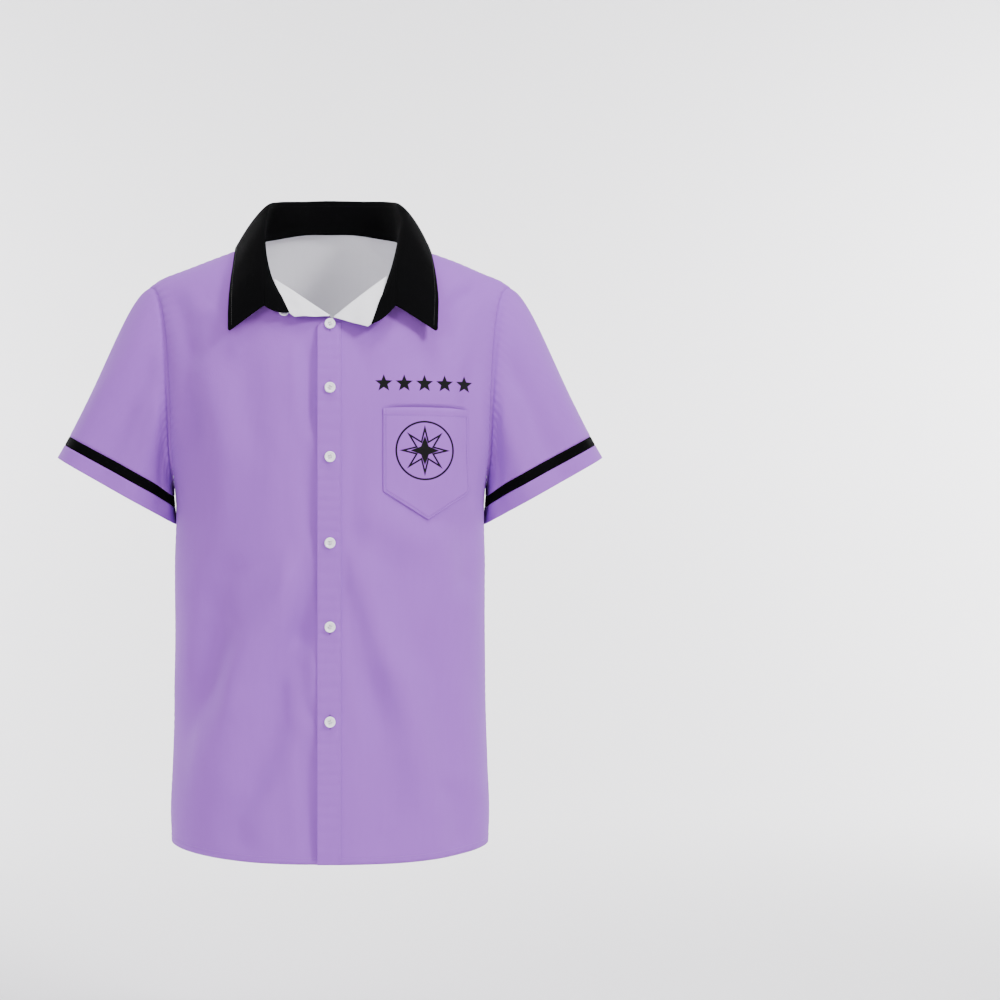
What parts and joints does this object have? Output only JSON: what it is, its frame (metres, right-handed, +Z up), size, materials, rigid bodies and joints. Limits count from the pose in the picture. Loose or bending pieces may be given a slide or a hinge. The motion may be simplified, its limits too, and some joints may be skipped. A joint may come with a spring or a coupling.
{
  "type": "short-sleeved bowling shirt",
  "caption": "Short-sleeved button-front bowling shirt with a dark pointed collar, dark sleeve stripes, a chest pocket and a straight hem, hollow as when worn.",
  "frame": {"origin": "middle of the neck opening, at the height where the shoulder seams meet the collar", "axes": "X to the wearer's left, Y to the wearer's back, Z up"},
  "size_m": [0.6524, 0.2634, 0.7875],
  "materials": {
    "lilac_cloth": "matt woven polyester",
    "black_cloth": "matt woven polyester",
    "white_button": "glossy"
  },
  "bodies": {
    "root": {"back": "lilac_cloth", "front_left": "lilac_cloth", "front_right": "lilac_cloth", "placket": "lilac_cloth", "pocket": "lilac_cloth", "sleeve_left": "lilac_cloth", "sleeve_right": "lilac_cloth", "sleeve_hem_left": "lilac_cloth", "sleeve_hem_right": "lilac_cloth", "sleeve_stripe_left": "black_cloth", "sleeve_stripe_right": "black_cloth", "collar_band": "black_cloth", "collar_fall": "black_cloth", "button_1": "white_button", "button_2": "white_button", "button_3": "white_button", "button_4": "white_button", "button_5": "white_button", "button_6": "white_button", "collar_button": "white_button"}
  },
  "joints": []
}
